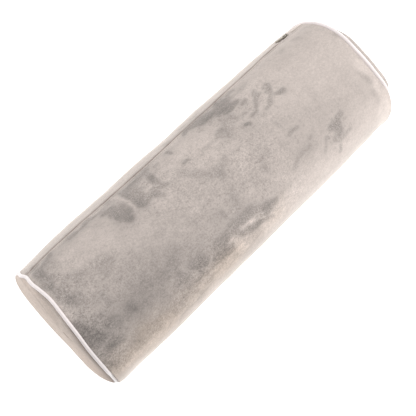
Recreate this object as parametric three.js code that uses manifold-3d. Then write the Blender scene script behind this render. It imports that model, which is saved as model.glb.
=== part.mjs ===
// Neck roll pillow: a filled velvet tube, a crowned round panel at each end, a contrast
// piping in each round seam, and the slider and pull of the zip in the long seam.
//
// Millimetres. X runs along the roll from its near end to its far end, Y runs across it and
// Z is up. The origin lies under the middle of the roll, on the surface that it rests on.
// Angles round the roll are in degrees, from its top towards +Y.

import * as THREE from 'three';
import Module from 'manifold-3d';
import { mergeVertices } from 'three/addons/utils/BufferGeometryUtils.js';

// The filled tube.
const ROLL_RADIUS = 90.8; // at the near end
const ROLL_TAPER = 1.2; // how much less the radius is at the far end
const SEAM_SPAN = 495.3; // between the two piped seams, at the axis
const DRAW_LENGTH = 130; // how far from a piped seam the tube starts to narrow
const DRAW_POWER = 4; // how late the narrowing comes
const DRAW_STEPS = [0.04, 0.1, 0.2, 0.35, 0.6, 1]; // shares of that length
const FACETS = 72; // round the roll
const SPAN_STEPS = 3; // along the tube, between the two narrowed stretches

// How it lies: the axis is lower than the radius, which presses a flat strip under the roll.
const AXIS_HEIGHT = 84.6;
const REST_BLEND = 2.5; // how gently the round turns into that strip
const SIDE_SAG = 1.9; // how far the filling presses the sides out, low down
const SAG_ANGLE = 108; // degrees from the top to the middle of that
const SAG_REACH = 48; // and degrees from its middle to where it ends

// The piping, and the space that every sewn piece keeps to its neighbour.
const PIPING_RADIUS = 2.25;
const PIPING_SIDES = 8;
const PIECE_GAP = 0.3;
const NOTCH_RADIUS = PIPING_RADIUS + 1.6 * PIECE_GAP; // the cloth round the faceted cord

// The long seam with the zip. It turns a little round the roll on its way to the far end.
const SEAM_ANGLE = 44.9; // at the middle of the roll
const SEAM_LEAN = 2.4; // how far it turns evenly over half the roll, in degrees
const SEAM_BEND = 3; // and how far it bends towards +Y at both ends
const SEAM_DEPTH = 1.2;

// The two round panels. A panel swells like a cushion: fast at its edge, flat in the middle.
const CROWN_POWER = 7;
const CROWN_STEPS = [1, 0.985, 0.95, 0.88, 0.75, 0.5, 0.25, 0]; // shares of the radius

// Each end has the radius that the middle of its piping follows and the height of its crown.
// Its seam is a little out of plane: a wave moves it outwards by `out` at the angle `at`, and
// repeats `turns` times round the roll.
const ENDS = {
  near: {
    side: -1,
    ring: 86.6,
    crown: 3.5,
    waves: [
      { turns: 1, out: 2.7, at: -72 },
      { turns: 2, out: 1.7, at: -40 },
      { turns: 3, out: 1, at: -42 },
      { turns: 4, out: 0.65, at: 31 },
      { turns: 5, out: 0.2, at: -33 },
      { turns: 6, out: 0.25, at: -30 },
    ],
  },
  far: {
    side: 1,
    ring: 85,
    crown: 15.4,
    waves: [
      { turns: 1, out: 4.8, at: -114 },
      { turns: 2, out: 1.8, at: 49.5 },
      { turns: 3, out: 0.8, at: 19 },
      { turns: 4, out: 1.3, at: 27 },
      { turns: 5, out: 0.3, at: 6 },
      { turns: 6, out: 0.2, at: 1 },
    ],
  },
};
const WAVE_FADE = 90; // length over which the tube loses the wave of its end

// The zip's slider lies on the long seam near the far end, with its pull towards the near end.
const SLIDER = { x: 211.9, length: 9, frontWidth: 6, backWidth: 4.4, thickness: 1.4, bevel: 0.3 };
const BRIDGE = { length: 5.8, width: 1.6, bar: 0.7, opening: 1.3, corner: 0.6 };
const PULL = { length: 15.5, eyeWidth: 5.2, tipWidth: 4, thickness: 0.8, bar: 0.8 };
const PULL_EYE = { length: 2.8, width: 3.2 };
const PULL_PIVOT = { x: -1, z: 2.05 }; // middle of the pull's bar, under the bridge
const PULL_LIFT = 2; // the pull lies on the soft lap, its tip a little higher than its bar
const PULL_SWING = 10; // and hangs down the side of the roll

const MATERIALS = {
  velvet: { color: 0xc2b8b1, roughness: 0.9, metalness: 0 },
  piping: { color: 0xf4eceb, roughness: 0.6, metalness: 0 },
  zip: { color: 0x5a5350, roughness: 0.4, metalness: 0.6 },
};

const radians = THREE.MathUtils.degToRad;

// Radius of the round tube at x, apart from where a piped seam narrows it.
function fullRadius(x) {
  return ROLL_RADIUS - ROLL_TAPER * (x / SEAM_SPAN + 0.5);
}

// How far out of round the side of the tube is pressed, at an angle in radians.
function sideSag(angle) {
  const fromTop = Math.acos(Math.cos(angle));
  const share = Math.abs(fromTop - radians(SAG_ANGLE)) / radians(SAG_REACH);
  return share < 1 ? SIDE_SAG * Math.cos((share * Math.PI) / 2) ** 2 : 0;
}

// The settled outline as a share of a round one of this radius, at an angle in radians.
function settledShare(angle, radius) {
  const side = radius + sideSag(angle);
  const down = -Math.cos(angle);
  if (down <= 0) {
    return side / radius;
  }
  const toSurface = AXIS_HEIGHT / down;
  const blend = Math.max(0, REST_BLEND - Math.abs(side - toSurface));
  return (Math.min(side, toSurface) - (blend * blend) / (4 * REST_BLEND)) / radius;
}

// How far round the roll the long seam has turned at x, in radians, from its middle.
function seamTurn(x) {
  const share = x / (SEAM_SPAN / 2);
  return radians(SEAM_LEAN * share + SEAM_BEND * share * share);
}

// How far an end's seam lies outwards of its plane, at an angle in radians.
function seamWave(end, angle) {
  return end.waves.reduce(
    (sum, wave) => sum + wave.out * Math.cos(wave.turns * (angle - radians(wave.at))),
    0,
  );
}

// Lays a round, centred piece on the surface: turns it with the long seam, and moves its points
// to the settled outline, and along X by what shiftAt gives there, less near the axis.
function settle(geometry, shiftAt) {
  const points = geometry.getAttribute('position');
  for (let i = 0; i < points.count; i += 1) {
    const [x, y, z] = [points.getX(i), points.getY(i), points.getZ(i)];
    const angle = Math.atan2(y, z) + seamTurn(x);
    const radius = Math.hypot(y, z);
    const share = Math.min(1, radius / ENDS.far.ring);
    const settled = radius * settledShare(angle, fullRadius(x));
    points.setXYZ(
      i,
      x + share * shiftAt(x, angle),
      settled * Math.sin(angle),
      settled * Math.cos(angle) + AXIS_HEIGHT,
    );
  }
  return geometry;
}

// Turns a profile of [x, radius] pairs round the X axis, with a facet edge on the long seam.
function turned(profile) {
  const points = profile.map(([x, radius]) => new THREE.Vector2(radius, x));
  const geometry = new THREE.LatheGeometry(points, FACETS);
  geometry.rotateZ(-Math.PI / 2);
  geometry.rotateX(-radians(SEAM_ANGLE));
  return geometry;
}

// Profile of the cloth round the piping cord, from the seam's plane to the cord's side, as
// [distance from the plane, radius] pairs.
function notchProfile(end, lastAngle, steps) {
  const firstAngle = Math.asin(PIECE_GAP / 2 / NOTCH_RADIUS);
  const profile = [];
  for (let step = 0; step <= steps; step += 1) {
    const angle = firstAngle + ((radians(lastAngle) - firstAngle) * step) / steps;
    profile.push([NOTCH_RADIUS * Math.sin(angle), end.ring - NOTCH_RADIUS * Math.cos(angle)]);
  }
  return profile;
}

// Radius of the tube at a distance from an end's seam, where the seam narrows it.
function narrowedRadius(end, distance) {
  const full = fullRadius(end.side * (SEAM_SPAN / 2 - distance));
  const narrowing = full - end.ring;
  return full - narrowing * Math.max(0, 1 - distance / DRAW_LENGTH) ** DRAW_POWER;
}

// One half of the tube's profile, from the axis at its end to the end of the narrowing, as
// [distance from the seam's plane, radius] pairs.
function shoulderProfile(end) {
  const draw = DRAW_STEPS.map((share) => share * DRAW_LENGTH);
  const shoulder = draw.map((distance) => [distance, narrowedRadius(end, distance)]);
  return [[PIECE_GAP / 2, 0], ...notchProfile(end, 100, 3), ...shoulder];
}

function makeBody() {
  const half = SEAM_SPAN / 2;
  const near = shoulderProfile(ENDS.near).map(([inward, radius]) => [inward - half, radius]);
  const far = shoulderProfile(ENDS.far).map(([inward, radius]) => [half - inward, radius]);
  const straight = [];
  for (let step = 1; step < SPAN_STEPS; step += 1) {
    const x = (half - DRAW_LENGTH) * ((2 * step) / SPAN_STEPS - 1);
    straight.push([x, fullRadius(x)]);
  }
  const geometry = turned([...near, ...straight, ...far.reverse()]);
  sinkLongSeam(geometry);
  return settle(geometry, (x, angle) => {
    const end = x < 0 ? ENDS.near : ENDS.far;
    const nearness = THREE.MathUtils.smoothstep(Math.abs(x), half - WAVE_FADE, half);
    return end.side * seamWave(end, angle) * nearness;
  });
}

// Draws the long seam's line of points in, between the two piped seams.
function sinkLongSeam(geometry) {
  const points = geometry.getAttribute('position');
  const halfFacet = Math.PI / FACETS;
  for (let i = 0; i < points.count; i += 1) {
    const radius = Math.hypot(points.getY(i), points.getZ(i));
    const angle = Math.atan2(points.getY(i), points.getZ(i));
    if (radius > ENDS.near.ring && Math.abs(angle - radians(SEAM_ANGLE)) < halfFacet) {
      const sunk = (radius - SEAM_DEPTH) / radius;
      points.setXYZ(i, points.getX(i), points.getY(i) * sunk, points.getZ(i) * sunk);
    }
  }
}

function makeDisc(end) {
  const notch = notchProfile(end, 92, 3);
  const [notchDepth] = notch.at(-1);
  const crown = CROWN_STEPS.slice(1).map((share) => {
    const swell = Math.sqrt(1 - share ** CROWN_POWER);
    return [notchDepth + (end.crown - notchDepth) * swell, end.ring * share];
  });
  const outward = [[PIECE_GAP / 2, 0], ...notch, ...crown];
  const profile = outward.map(([out, radius]) => [end.side * (SEAM_SPAN / 2 + out), radius]);
  if (end.side < 0) {
    profile.reverse();
  }
  return settle(turned(profile), (x, angle) => end.side * seamWave(end, angle));
}

function makePiping(end) {
  const geometry = new THREE.TorusGeometry(end.ring, PIPING_RADIUS, PIPING_SIDES, FACETS);
  geometry.rotateY(Math.PI / 2);
  geometry.rotateX(-radians(SEAM_ANGLE));
  geometry.translate((end.side * SEAM_SPAN) / 2, 0, 0);
  return settle(geometry, (x, angle) => end.side * seamWave(end, angle));
}

// The slider: a shield-shaped plate on the cloth, wide at the front, and the bridge over it.
function sliderPlate() {
  const half = SLIDER.length / 2 - SLIDER.bevel;
  const front = SLIDER.frontWidth / 2 - SLIDER.bevel;
  const back = SLIDER.backWidth / 2 - SLIDER.bevel;
  const outline = new THREE.Shape();
  outline.moveTo(-half, -back);
  outline.quadraticCurveTo(0, -back, half * 0.5, -front);
  outline.quadraticCurveTo(half, -front, half, 0);
  outline.quadraticCurveTo(half, front, half * 0.5, front);
  outline.quadraticCurveTo(0, back, -half, back);
  const geometry = new THREE.ExtrudeGeometry(outline, {
    depth: SLIDER.thickness - 2 * SLIDER.bevel,
    bevelThickness: SLIDER.bevel,
    bevelSize: SLIDER.bevel,
    bevelSegments: 1,
    curveSegments: 4,
  });
  return geometry.translate(0, 0, SLIDER.bevel);
}

function sliderBridge() {
  const half = BRIDGE.length / 2;
  const foot = SLIDER.thickness / 2;
  const under = SLIDER.thickness + BRIDGE.opening;
  const top = under + BRIDGE.bar;
  const arch = new THREE.Shape();
  arch.moveTo(-half, foot);
  arch.lineTo(-half + BRIDGE.bar, foot);
  arch.lineTo(-half + BRIDGE.bar, under);
  arch.lineTo(half - BRIDGE.bar, under);
  arch.lineTo(half - BRIDGE.bar, foot);
  arch.lineTo(half, foot);
  arch.absarc(half - BRIDGE.corner, top - BRIDGE.corner, BRIDGE.corner, 0, Math.PI / 2);
  arch.absarc(BRIDGE.corner - half, top - BRIDGE.corner, BRIDGE.corner, Math.PI / 2, Math.PI);
  const geometry = new THREE.ExtrudeGeometry(arch, {
    depth: BRIDGE.width,
    bevelEnabled: false,
    curveSegments: 3,
  });
  geometry.rotateX(Math.PI / 2);
  return geometry.translate(0, BRIDGE.width / 2, 0);
}

const wasm = await Module();
wasm.setup();

function toManifold(geometry) {
  const bare = new THREE.BufferGeometry();
  bare.setAttribute('position', geometry.getAttribute('position'));
  bare.setIndex(geometry.getIndex());
  const merged = mergeVertices(bare);
  const mesh = new wasm.Mesh({
    numProp: 3,
    vertProperties: Float32Array.from(merged.getAttribute('position').array),
    triVerts: Uint32Array.from(merged.getIndex().array),
  });
  return new wasm.Manifold(mesh);
}

function makeSlider() {
  const joined = toManifold(sliderPlate()).add(toManifold(sliderBridge())).getMesh();
  const geometry = new THREE.BufferGeometry();
  geometry.setAttribute('position', new THREE.BufferAttribute(joined.vertProperties, 3));
  geometry.setIndex(new THREE.BufferAttribute(joined.triVerts, 1));
  return geometry;
}

// The pull: a tapered plate with a square eye, lying along -X from the middle of its bar.
function makePull() {
  const eye = PULL_EYE.width / 2;
  const head = PULL.eyeWidth / 2;
  const tip = PULL.tipWidth / 2;
  const barHalf = PULL.bar / 2;
  const outline = new THREE.Shape();
  outline.moveTo(barHalf, -head + barHalf);
  outline.lineTo(barHalf, head - barHalf);
  outline.quadraticCurveTo(barHalf, head, 0, head);
  outline.lineTo(tip - PULL.length, tip);
  outline.absarc(tip - PULL.length, 0, tip, Math.PI / 2, (3 * Math.PI) / 2);
  outline.lineTo(0, -head);
  outline.quadraticCurveTo(barHalf, -head, barHalf, -head + barHalf);
  const hole = new THREE.Path();
  hole.moveTo(-barHalf, -eye);
  hole.lineTo(-barHalf - PULL_EYE.length, -eye);
  hole.lineTo(-barHalf - PULL_EYE.length, eye);
  hole.lineTo(-barHalf, eye);
  outline.holes.push(hole);
  const geometry = new THREE.ExtrudeGeometry(outline, {
    depth: PULL.thickness,
    bevelEnabled: false,
    curveSegments: 6,
  });
  return geometry.translate(0, 0, -PULL.thickness / 2);
}

function addPiece(group, name, geometry, material) {
  const mesh = new THREE.Mesh(geometry, new THREE.MeshStandardMaterial(MATERIALS[material]));
  mesh.name = name;
  group.add(mesh);
  return mesh;
}

// A frame on the long seam: X along the roll and Z outwards, at the height where a piece
// that lies over the sunk seam clears the cloth on both sides of it. It leans with the tube.
function addZip(group) {
  const seat = new THREE.Group();
  const distance = SEAM_SPAN / 2 - SLIDER.x;
  const clothRadius = narrowedRadius(ENDS.far, distance);
  const clothRadiusBehind = narrowedRadius(ENDS.far, distance + SLIDER.length);
  const seatRadius = clothRadius - SEAM_DEPTH + 2 * PIECE_GAP;
  const angle = radians(SEAM_ANGLE) + seamTurn(SLIDER.x);
  seat.rotation.x = -angle;
  seat.rotation.y = Math.atan((clothRadiusBehind - clothRadius) / SLIDER.length);
  seat.position.x = SLIDER.x;
  seat.position.y = seatRadius * Math.sin(angle);
  seat.position.z = AXIS_HEIGHT + seatRadius * Math.cos(angle);
  group.add(seat);
  addPiece(seat, 'zip_slider', makeSlider(), 'zip');
  const pull = addPiece(seat, 'zip_pull', makePull(), 'zip');
  pull.position.set(PULL_PIVOT.x, 0, PULL_PIVOT.z);
  pull.rotation.order = 'ZYX';
  pull.rotation.set(0, radians(PULL_LIFT), -radians(PULL_SWING));
}

const roll = new THREE.Group();
addPiece(roll, 'roll_body', makeBody(), 'velvet');
for (const [name, end] of Object.entries(ENDS)) {
  addPiece(roll, `end_disc_${name}`, makeDisc(end), 'velvet');
  addPiece(roll, `piping_${name}`, makePiping(end), 'piping');
}
addZip(roll);

// The two ends swell differently, so the whole roll is centred over the origin at the end.
const box = new THREE.Box3().setFromObject(roll);
roll.position.x = -(box.min.x + box.max.x) / 2;

export default roll;
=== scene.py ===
"""Neck roll pillow: a filled velvet tube with a lapped zip seam, a crowned round panel at each
end, satin piping in both end seams, and the zip's slider and pull, on a pale studio floor.

Metres. X runs along the roll from its near end to its far end, Y across it and Z up, with the
origin under its middle. Angles round the roll start at its top and grow towards +Y.
"""

import math
from typing import NamedTuple

import bmesh
import bpy
import numpy as np
from bpy.props import FloatProperty, FloatVectorProperty, IntProperty, PointerProperty
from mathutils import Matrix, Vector


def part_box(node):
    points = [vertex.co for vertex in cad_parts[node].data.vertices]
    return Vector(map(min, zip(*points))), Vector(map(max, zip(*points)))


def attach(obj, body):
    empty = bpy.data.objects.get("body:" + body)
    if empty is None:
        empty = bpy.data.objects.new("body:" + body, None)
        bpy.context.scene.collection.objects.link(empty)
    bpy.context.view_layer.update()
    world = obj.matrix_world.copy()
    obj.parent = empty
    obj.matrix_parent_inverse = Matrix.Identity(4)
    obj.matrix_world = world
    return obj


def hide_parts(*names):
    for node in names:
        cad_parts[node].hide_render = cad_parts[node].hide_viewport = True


bl_info = {
    "name": "Neck Roll Pillow",
    "version": (1, 0, 0),
    "blender": (4, 5, 0),
    "location": "3D View > Sidebar > Neck Roll",
    "description": "A piped velvet neck roll with a lapped zip seam, and a studio to show it in",
    "category": "Add Mesh",
}

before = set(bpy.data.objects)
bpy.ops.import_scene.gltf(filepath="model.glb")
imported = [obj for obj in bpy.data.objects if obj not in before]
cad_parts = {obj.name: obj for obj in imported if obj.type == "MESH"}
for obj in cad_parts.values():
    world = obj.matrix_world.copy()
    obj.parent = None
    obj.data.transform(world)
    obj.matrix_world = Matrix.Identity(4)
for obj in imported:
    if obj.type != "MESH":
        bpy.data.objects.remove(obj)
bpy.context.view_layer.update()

MM = 0.001
TINY = 1e-6  # keeps a divisor from being zero
FACET = math.radians(5)  # the CAD rings have an edge at the long seam and one at each facet

# The long seam with the zip: its angle at the middle of the roll, how far it turns evenly over
# half the roll, and how far it bends towards +Y at both ends.
SEAM_ANGLE = math.radians(44.9)
SEAM_LEAN = math.radians(2.4)
SEAM_BEND = math.radians(3)


# ---------------------------------------------------------------- what the frame says


def points_of(mesh):
    """The vertices of a mesh as an array."""
    points = np.empty(len(mesh.vertices) * 3)
    mesh.vertices.foreach_get("co", points)
    return points.reshape(-1, 3)


def axis_height():
    """Height of the roll's axis: the upper part of a ring of piping is a circle round it."""
    points = points_of(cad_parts["piping_near"].data)
    top = points[points[:, 2].argmax(), 1:]
    side = points[(points[:, 1] + points[:, 2]).argmax(), 1:]
    return (side @ side - top @ top) / (2 * (side[1] - top[1]))


AXIS = axis_height()


def polar(points):
    """Angle round the roll's axis, and distance from it, of an array of points."""
    across = points[..., 1]
    above = points[..., 2] - AXIS
    return np.arctan2(across, above), np.hypot(across, above)


def move_points(mesh, points):
    """Puts the vertices of a mesh where an array says."""
    mesh.vertices.foreach_set("co", points.astype(np.float32).ravel())
    mesh.update()


class Tuck(NamedTuple):
    """How the roll's weight tucks an end seam in, low down on its -Y side, in millimetres."""

    start: float  # degrees down from the top where it begins
    back: float  # how far the seam moves into the tube
    inwards: float  # and towards the axis
    overhang: float  # how far the tube beside it leans over it
    rise: float  # and bulges
    centre: float  # distance from the seam to the middle of that bulge
    width: float


NEAR_TUCK = Tuck(start=68, back=1.3, inwards=2.8, overhang=1.0, rise=1.7, centre=13, width=13)
FAR_TUCK = Tuck(start=60, back=3.0, inwards=3.5, overhang=3.5, rise=2.0, centre=5, width=8)

# Where the sewing strays: degrees round the roll, millimetres outwards and width in degrees.
NEAR_STRAYS = [
    (51, 1.2, 5), (40, -1.3, 5), (27, 0.5, 5), (7, -0.9, 9), (-28, -0.5, 9), (-83, 0.5, 8),
]
FAR_STRAYS = [(-13, -0.5, 8), (-40, -0.5, 9)]


WAVES = 8  # how many times round the roll a seam's finest wave goes


class EndSeam:
    """A piped seam, measured on its ring of piping: where the middle of the cord runs."""

    def __init__(self, side, piping, strays, tucked, fullness, wrap, soil):
        self.side = side
        self.strays = strays
        self.tucked = tucked
        self.wrap = wrap  # degrees round the cord that the tube's cloth covers
        self.soil = soil  # painted shade: how much darker the cord is painted low down on its -Y side
        points = points_of(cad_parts[piping].data).round(6)
        points = np.unique(points, axis=0)
        angle, radius = polar(points)
        self.start = SEAM_ANGLE + side * SEAM_LEAN + SEAM_BEND
        stations = round(2 * math.pi / FACET)
        station = np.round((angle - self.start) / FACET).astype(int) % stations
        along = np.array([points[station == i, 0].mean() for i in range(stations)])
        out = np.array([radius[station == i].mean() for i in range(stations)])
        self.x = along.mean()  # its plane
        self.radius = out[0]  # of the ring
        top = station == 0
        spread = np.hypot(points[top, 0] - along[0], radius[top] - out[0])
        self.cord = spread.mean() * fullness  # radius of the cord
        self.waves = np.fft.rfft(along - self.x) / stations

    def wander(self, angle):
        """How far the seam lies from its plane along X, at an angle round the roll."""
        shift = np.zeros_like(angle)
        for times in range(1, WAVES + 1):
            wave = 2 * self.waves[times]
            turned = times * (angle - self.start)
            shift = shift + wave.real * np.cos(turned) - wave.imag * np.sin(turned)
        for middle, outwards, width in self.strays:
            offset = (np.degrees(angle) - middle + 180) % 360 - 180
            shift = shift + self.side * outwards * MM * np.exp(-((offset / width) ** 2))
        return shift


NEAR = EndSeam(-1, "piping_near", NEAR_STRAYS, NEAR_TUCK, fullness=0.97, wrap=96, soil=0.22)
FAR = EndSeam(1, "piping_far", FAR_STRAYS, FAR_TUCK, fullness=1.2, wrap=112, soil=0)
MIDDLE = (NEAR.x + FAR.x) / 2


def seam_angle(x):
    """Angle at which the long seam runs, at x."""
    share = (x - MIDDLE) / (FAR.x - MIDDLE)
    return SEAM_ANGLE + SEAM_LEAN * share + SEAM_BEND * share * share


def past_seam(x, angle):
    """Angle from the long seam to a point, between half a turn back and half a turn on."""
    return (angle - seam_angle(x) + math.pi) % (2 * math.pi) - math.pi


# ---------------------------------------------------------------- sizes a user may change


class RollSettings(bpy.types.PropertyGroup):
    """Shape of the cloth."""

    draw_length: FloatProperty(
        name="Draw length", default=0.13, unit="LENGTH",
        description="How far from an end seam the tube starts to narrow",
    )
    draw_power: FloatProperty(
        name="Draw power", description="How late the narrowing comes", default=4
    )
    rest_blend: FloatProperty(
        name="Rest blend", default=0.0025, unit="LENGTH",
        description="How gently the round turns into the flat strip that the roll lies on",
    )
    side_sag: FloatProperty(
        name="Side sag", default=0.0019, unit="LENGTH",
        description="How far the filling presses the sides out, low down",
    )
    sag_angle: FloatProperty(
        name="Sag angle", default=math.radians(108), unit="ROTATION",
        description="From the top to the middle of the pressed side",
    )
    sag_reach: FloatProperty(
        name="Sag reach", default=math.radians(48), unit="ROTATION",
        description="From the middle of the pressed side to where it ends",
    )
    wave_fade: FloatProperty(
        name="Wave fade", default=0.09, unit="LENGTH",
        description="Length over which the tube loses the unevenness of its end seam",
    )
    near_crown: FloatProperty(
        name="Near crown", default=0.0035, unit="LENGTH",
        description="How far the near round panel swells out of its seam",
    )
    far_crown: FloatProperty(
        name="Far crown", default=0.0154, unit="LENGTH",
        description="How far the far round panel swells out of its seam",
    )
    crown_power: FloatProperty(
        name="Crown power", description="How flat the middle of a panel is", default=7
    )
    columns: IntProperty(
        name="Columns", description="Points round the roll before subdivision", default=144
    )
    row_step: FloatProperty(
        name="Row step", default=0.0043, unit="LENGTH",
        description="Distance between rows of points along the tube before subdivision",
    )
    pressure: FloatProperty(
        name="Pressure", description="How hard the filling pushes in the simulation", default=4
    )
    frames: IntProperty(name="Frames", description="Length of the simulation", default=20)
    pucker_limit: FloatProperty(
        name="Pucker limit", default=0.0022, unit="LENGTH",
        description="The furthest that the simulation may move a point of the tube",
    )
    panel_limit: FloatProperty(
        name="Panel pucker limit", default=0.0012, unit="LENGTH",
        description="The furthest that the simulation may move a point of a round panel",
    )
    lump_height: FloatProperty(
        name="Lump height", default=0.0007, unit="LENGTH",
        description="Height of the soft lumps of the filling",
    )


class TrimSettings(bpy.types.PropertyGroup):
    """Sizes of the seams, the stitching and the zip."""

    gap: FloatProperty(
        name="Cord gap", default=0.00015, unit="LENGTH",
        description="Space between the cloth and the piping cord that it is sewn to",
    )
    stitch_pitch: FloatProperty(
        name="Stitch pitch", default=0.0033, unit="LENGTH",
        description="Distance from one stitch of the lap to the next",
    )
    stitch_length: FloatProperty(
        name="Stitch length", default=0.0024, unit="LENGTH",
        description="Length of one stitch on the cloth",
    )
    thread: FloatProperty(
        name="Thread", description="Thickness of the thread", default=0.00045, unit="LENGTH"
    )
    metal_bevel: FloatProperty(
        name="Metal bevel", default=0.00018, unit="LENGTH",
        description="Width of the rounded edges of the slider and its pull",
    )


class FinishSettings(bpy.types.PropertyGroup):
    """Colours of the cloth, the piping and the zip."""

    pile: FloatVectorProperty(
        name="Pile", default=(0.50, 0.44, 0.407), subtype="COLOR", size=3,
        description="Velvet whose pile leans towards the eye",
    )
    brushed: FloatVectorProperty(
        name="Brushed pile", default=(0.20, 0.182, 0.17), subtype="COLOR", size=3,
        description="Velvet where a hand has brushed the pile the other way",
    )
    flat_pile: FloatVectorProperty(
        name="Flat pile", default=(0.51, 0.428, 0.376), subtype="COLOR", size=3,
        description="Velvet of the near round panel, whose pile lies flatter",
    )
    flat_brushed: FloatVectorProperty(
        name="Flat brushed pile", default=(0.24, 0.195, 0.168), subtype="COLOR", size=3,
        description="The same velvet brushed the other way",
    )
    # painted shade: the colour that velvet is painted towards down in the lap's crease and beside
    # the near cord
    shade: FloatVectorProperty(
        name="Shade", default=(0.24, 0.165, 0.13), subtype="COLOR", size=3,
        description="Velvet down in a seam",
    )
    satin: FloatVectorProperty(
        name="Satin", default=(0.86, 0.78, 0.77), subtype="COLOR", size=3,
        description="Satin bias tape round the piping cord",
    )
    lacquer: FloatVectorProperty(
        name="Lacquer", default=(0.19, 0.168, 0.135), subtype="COLOR", size=3,
        description="Dark lacquer of the slider",
    )
    # painted highlight: the pull's lacquer is painted lighter than the slider's, standing in for
    # the highlights on it
    pull_lacquer: FloatVectorProperty(
        name="Pull lacquer", default=(0.36, 0.32, 0.26), subtype="COLOR", size=3,
        description="Worn lacquer of the pull",
    )


class StudioSettings(bpy.types.PropertyGroup):
    """Floor, lights and camera."""

    floor_size: FloatProperty(
        name="Floor size", description="Width of the floor", default=24, unit="LENGTH"
    )
    sky: FloatProperty(name="Sky", description="Strength of the light all round", default=0.55)
    target: FloatVectorProperty(
        name="Target", default=(-0.02225, -0.0136, 0.09), unit="LENGTH", size=3,
        description="Point that the camera looks at",
    )
    distance: FloatProperty(
        name="Distance", description="From the camera to its target", default=1.22465, unit="LENGTH"
    )
    elevation: FloatProperty(
        name="Elevation", default=math.radians(65.33), unit="ROTATION",
        description="How far the camera looks down",
    )
    azimuth: FloatProperty(
        name="Azimuth", default=math.radians(46.1), unit="ROTATION",
        description="Turn of the camera from -Y towards -X",
    )
    field_of_view: FloatProperty(
        name="Field of view", default=math.radians(24), unit="ROTATION",
        description="Angle that the camera sees",
    )


# ---------------------------------------------------------------- shape of the filled roll


def full_radius(x):
    """Radius of the round tube away from its seams, from two measures of the CAD tube."""
    (near_x, near), (far_x, far) = SHOULDERS
    return near + (far - near) * (x - near_x) / (far_x - near_x)


def outer_point(piece, x, angle):
    """Where a ray from the axis at x leaves a piece, at an angle round the roll."""
    outwards = Vector((0, math.sin(angle), math.cos(angle)))
    hit, place, _, _ = piece.ray_cast(Vector((x, 0, AXIS)), outwards)
    if not hit:
        raise RuntimeError(f"{piece.name} has no surface at {x:.3f} m")
    return place


def measure_shoulder(x):
    """Distance from the axis to the CAD tube at x, on a facet edge at the side."""
    place = outer_point(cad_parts["roll_body"], x, seam_angle(x) - math.radians(90))
    return x, (place - Vector((x, 0, AXIS))).length


SHOULDER_INSET = 130 * MM
SHOULDERS = [measure_shoulder(NEAR.x + SHOULDER_INSET), measure_shoulder(FAR.x - SHOULDER_INSET)]


def smooth_step(low, high, value):
    """0 below low, 1 above high and a smooth rise between them."""
    share = np.clip((value - low) / (high - low), 0, 1)
    return share * share * (3 - 2 * share)


def narrowed_radius(x, roll):
    """Radius of the tube at x, where an end seam draws it in."""
    full = full_radius(x)
    narrowing = np.zeros_like(x)
    for seam in (NEAR, FAR):
        distance = seam.side * (seam.x - x)
        share = np.clip(1 - distance / roll.draw_length, 0, 1)
        sewn = seam.radius - seam.cord * math.cos(math.radians(seam.wrap))
        narrowing = narrowing + (full - sewn) * share**roll.draw_power
    return full - narrowing


def side_sag(angle, roll):
    """How far out of round the side of the tube is pressed."""
    from_top = np.arccos(np.cos(angle))
    share = np.clip(np.abs(from_top - roll.sag_angle) / roll.sag_reach, 0, 1)
    return roll.side_sag * np.cos(share * math.pi / 2) ** 2


def resting_share(x, angle, roll):
    """The resting outline as a share of a round one."""
    full = full_radius(x)
    side = full + side_sag(angle, roll)
    to_floor = AXIS / np.maximum(-np.cos(angle), TINY)
    overlap = np.maximum(0, roll.rest_blend - np.abs(side - to_floor))
    return (np.minimum(side, to_floor) - overlap**2 / (4 * roll.rest_blend)) / full


TUCK_RISE = 14  # degrees over which a tuck begins
TUCK_END = (105, 145)  # degrees down from the top between which it ends
BULGE_LEAD = 10  # degrees by which the bulge beside it begins earlier
CORD_EDGE = 0.3 * MM  # from the cord to the first cloth that isn't sewn to it


def tuck(angle, start):
    """Share from 0 to 1 of a seam's tuck on its lower -Y side, from `start` degrees down."""
    down = np.degrees(-angle)
    return smooth_step(start, start + TUCK_RISE, down) * (1 - smooth_step(*TUCK_END, down))


def tuck_in(x, radius, angle):
    """Moves the seams back and in where they are tucked, and lets the tube bulge beside them."""
    shift = np.zeros_like(x)
    growth = np.zeros_like(x)
    for seam in (NEAR, FAR):
        start, back, inwards, overhang, rise, centre, width = seam.tucked
        distance = seam.side * (seam.x - x)
        beside = distance >= seam.cord + CORD_EDGE
        sewn = tuck(angle, start) * ~beside * np.minimum(1, radius / seam.radius) ** 3
        nearness = np.exp(-(((distance / MM - centre) / width) ** 2))
        bulge = tuck(angle, start - BULGE_LEAD) * beside * nearness
        shift = shift - seam.side * (back * sewn - overhang * bulge) * MM
        growth = growth + (rise * bulge - inwards * sewn) * MM
    return x + shift, radius + growth


def lay(x, radius, angle, roll):
    """Where points of a round, straight roll lie once its seams wander and it rests."""
    x, radius = tuck_in(x, radius, angle)
    shift = np.zeros_like(x)
    for seam in (NEAR, FAR):
        distance = seam.side * (seam.x - x)
        nearness = 1 - smooth_step(0, roll.wave_fade, distance)
        shift = shift + seam.wander(angle) * nearness * np.minimum(1, radius / seam.radius)
    resting = radius * resting_share(x, angle, roll)
    across = resting * np.sin(angle)
    above = AXIS + resting * np.cos(angle)
    return np.stack([x + shift, across, above], axis=-1)


CAP_SHARES = (0, 0.55)  # rows of the hidden end of a filled piece, as shares of its radius
NOTCH_ROWS = 9  # rows of its cloth round the cord
HIDDEN_ROWS = len(CAP_SHARES) + NOTCH_ROWS


def hidden_rows(seam, wrap, gap):
    """The hidden end of a filled piece up to `wrap` degrees round the cord that it is sewn to.

    The two columns are the distance from the seam's plane and the radius.
    """
    cap = [(gap, share * seam.radius) for share in CAP_SHARES]
    reach = seam.cord + gap
    angles = np.linspace(math.asin(gap / reach), math.radians(wrap), NOTCH_ROWS)
    notch = [(reach * math.sin(a), seam.radius - reach * math.cos(a)) for a in angles]
    return np.array(cap + notch)


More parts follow.
